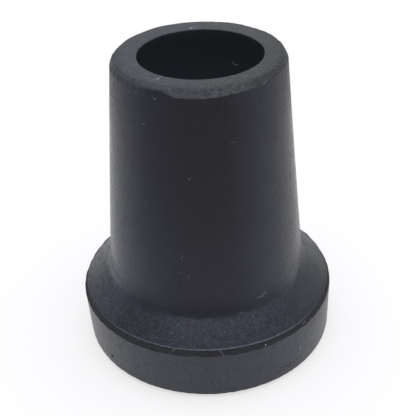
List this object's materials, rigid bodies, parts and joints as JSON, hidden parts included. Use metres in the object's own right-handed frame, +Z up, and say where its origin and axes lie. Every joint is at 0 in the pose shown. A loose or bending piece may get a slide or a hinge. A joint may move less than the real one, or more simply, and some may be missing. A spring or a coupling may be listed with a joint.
{
  "type": "rubber cane tip",
  "caption": "One-piece rubber tip for a walking stick: a blind push-on socket in a tapered barrel, a sloping shoulder and a wide foot with a ringed tread.",
  "frame": {"origin": "centre of the tread, at the level where it meets the ground", "axes": "+Z up the axis of the socket and the stick, towards the mouth; the form is round, so +X is free"},
  "size_m": [0.0426, 0.0426, 0.05],
  "materials": {
    "rubber": "satin moulded rubber, dusty on top and scuffed round the foot"
  },
  "bodies": {
    "root": {"rubber_tip": "rubber"}
  },
  "joints": []
}
